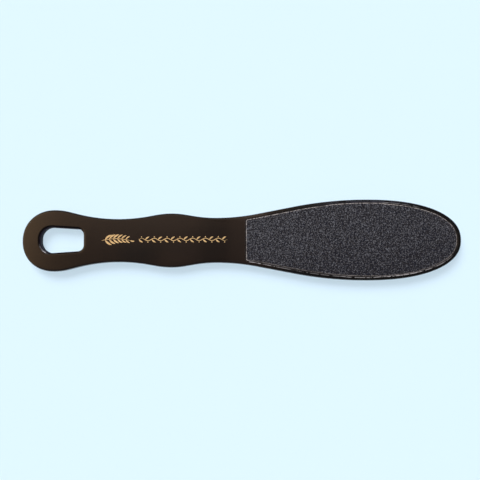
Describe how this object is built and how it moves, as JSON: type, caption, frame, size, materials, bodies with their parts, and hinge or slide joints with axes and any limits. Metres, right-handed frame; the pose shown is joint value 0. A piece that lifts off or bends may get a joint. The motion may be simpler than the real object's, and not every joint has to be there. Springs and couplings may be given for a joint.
{
  "type": "foot file",
  "caption": "Flat paddle foot file: a moulded plastic handle with a hanging hole and a waisted grip, and an abrasive sheet bedded into each face of its oval paddle.",
  "frame": {"origin": "under the middle of the file's bounding box, on the surface that it lies on", "axes": "+X along the file from the hanging end to the paddle's tip, +Y across it, +Z out of the coarse front face"},
  "size_m": [0.265, 0.0492, 0.0064],
  "materials": {
    "handle_plastic": "polished injection-moulded plastic, very dark brown, with fine handling scratches",
    "adhesive_film": "clear amber pressure-sensitive adhesive film",
    "sheet_backing": "die-cut grey backing with a paler cut edge",
    "coarse_grit": "charcoal silicon carbide grains, about 0.3 to 0.6 mm, in a dark resin coat",
    "fine_grit": "charcoal silicon carbide grains, about 0.2 mm, in a dark resin coat"
  },
  "bodies": {
    "root": {"paddle_handle": "handle_plastic", "front_adhesive": "adhesive_film", "front_backing": "sheet_backing", "front_grit": "coarse_grit", "rear_adhesive": "adhesive_film", "rear_backing": "sheet_backing", "rear_grit": "fine_grit"}
  },
  "joints": []
}
